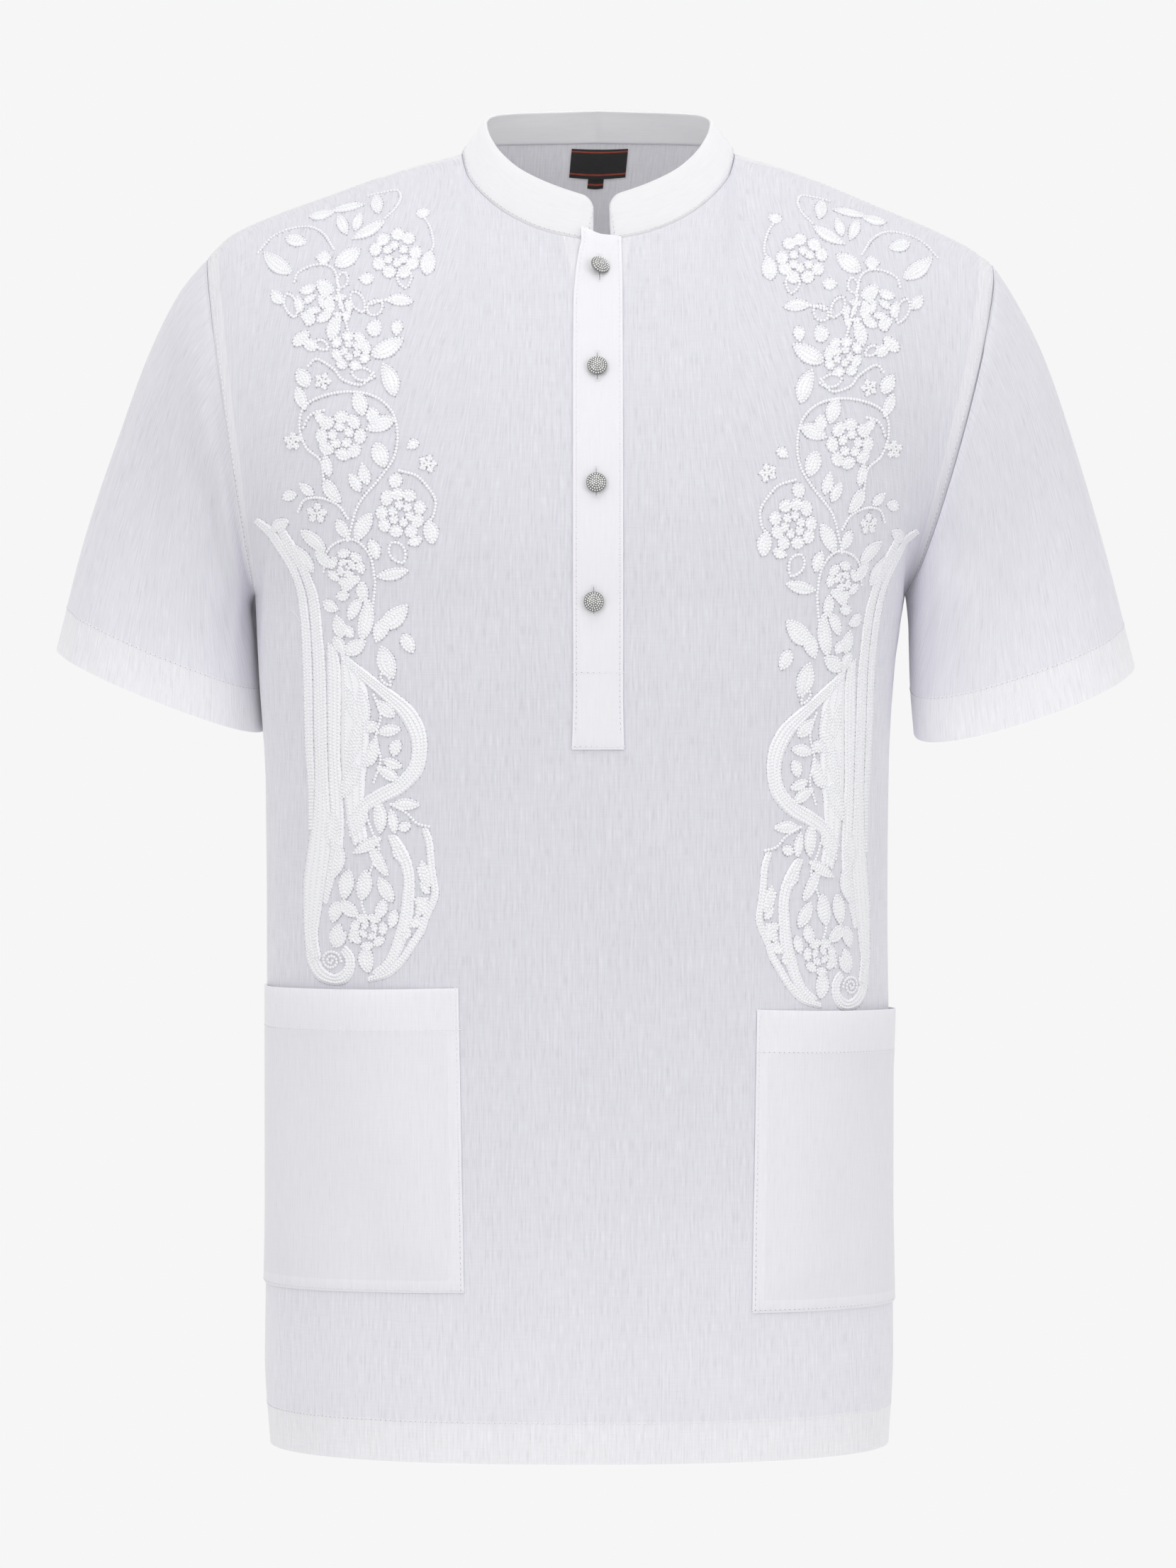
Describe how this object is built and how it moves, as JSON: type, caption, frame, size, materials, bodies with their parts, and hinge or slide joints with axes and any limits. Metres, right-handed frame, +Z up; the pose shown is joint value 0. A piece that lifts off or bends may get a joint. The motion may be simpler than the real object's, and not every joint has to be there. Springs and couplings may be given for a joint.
{
  "type": "men's short fatua tunic",
  "caption": "Light cotton tunic with a stand band collar, a half placket with domed buttons, short sleeves and hip pockets, held in its worn shape with nobody in it.",
  "frame": {"origin": "midway between the two neck points, where the shoulder seams meet the collar, on the wearer's shoulders", "axes": "+Z up along the wearer's spine, -Y towards the front of the tunic, +X towards the wearer's left"},
  "size_m": [0.631, 0.2744, 0.778],
  "materials": {
    "cotton_ply": "matt, thin and slightly sheer, with fine upright slubs",
    "cotton_band": "matt, doubled cloth",
    "cotton_pocket": "matt, thin cloth over cloth",
    "silver_metal": "silver, pebbled with small raised dots",
    "woven_label": "black satin weave with plain rust bands"
  },
  "bodies": {
    "root": {"front": "cotton_ply", "back": "cotton_ply", "sleeve_left": "cotton_ply", "sleeve_right": "cotton_ply", "collar": "cotton_band", "placket_over": "cotton_band", "placket_under": "cotton_band", "pocket_left": "cotton_pocket", "pocket_right": "cotton_pocket", "button_1": "silver_metal", "button_2": "silver_metal", "button_3": "silver_metal", "button_4": "silver_metal", "neck_label": "woven_label", "size_tab": "woven_label"}
  },
  "joints": []
}
